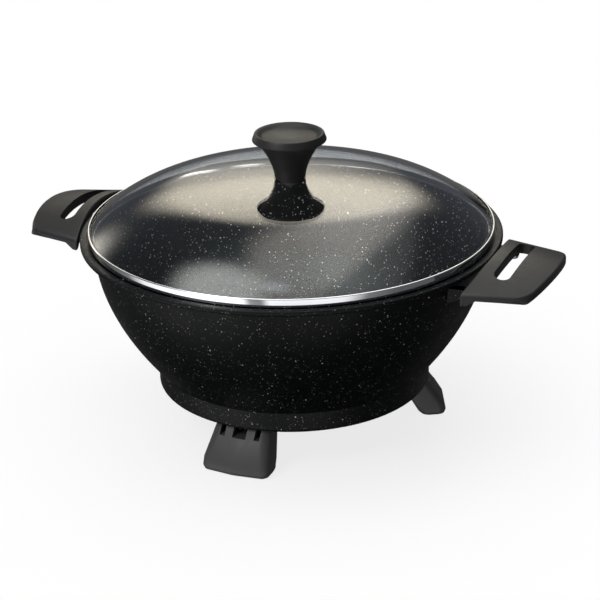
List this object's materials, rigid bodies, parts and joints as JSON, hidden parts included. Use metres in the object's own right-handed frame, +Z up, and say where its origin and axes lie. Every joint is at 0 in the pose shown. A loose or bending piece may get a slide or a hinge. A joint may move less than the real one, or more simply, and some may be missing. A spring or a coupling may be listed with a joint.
{
  "type": "electric multicooker pot",
  "caption": "Round deep cast cooking pot with a cast-in electric heater, splayed feet, slotted side handles and a loose domed glass lid with a goblet-shaped knob.",
  "frame": {"origin": "on the bowl's axis, on the surface that the feet stand on", "axes": "+X towards the right handle, -Y towards the front foot, +Z up along the bowl's axis"},
  "size_m": [0.4382, 0.3328, 0.2397],
  "materials": {
    "granite_coat": "satin non-stick coat, near black with fine pale specks, on cast aluminium",
    "charcoal_phenolic": "matt charcoal phenolic with a fine grain",
    "polished_steel": "polished stainless steel",
    "screw_steel": "turned steel",
    "clear_glass": "clear tempered glass",
    "silicone": "grey silicone",
    "brass": "turned brass",
    "ceramic": "unglazed ceramic",
    "heater_sheath": "darkened heater tube",
    "terminal_metal": "plated terminal pins"
  },
  "bodies": {
    "pot": {"pot_body": "granite_coat", "heating_element": "heater_sheath", "element_seal_left": "ceramic", "element_seal_right": "ceramic", "terminal_left": "terminal_metal", "terminal_right": "terminal_metal", "socket_guard": "charcoal_phenolic", "guard_screws": "screw_steel", "handle_left": "charcoal_phenolic", "handle_right": "charcoal_phenolic", "handle_screws_left": "screw_steel", "handle_screws_right": "screw_steel", "foot_front": "charcoal_phenolic", "foot_rear_left": "charcoal_phenolic", "foot_rear_right": "charcoal_phenolic", "foot_screw_front": "screw_steel", "foot_screw_rear_left": "screw_steel", "foot_screw_rear_right": "screw_steel"},
    "lid": {"lid_glass": "clear_glass", "lid_rim": "polished_steel", "rim_seal": "silicone", "knob": "charcoal_phenolic", "knob_insert": "brass", "knob_gasket": "silicone", "lid_washer_soft": "silicone", "lid_washer_steel": "screw_steel", "knob_screw": "screw_steel"}
  },
  "joints": [
    {"name": "lid_lift", "type": "slide", "parent": "pot", "child": "lid", "axis": [0, 0, 1], "range_m": [0, 0.15]}
  ]
}
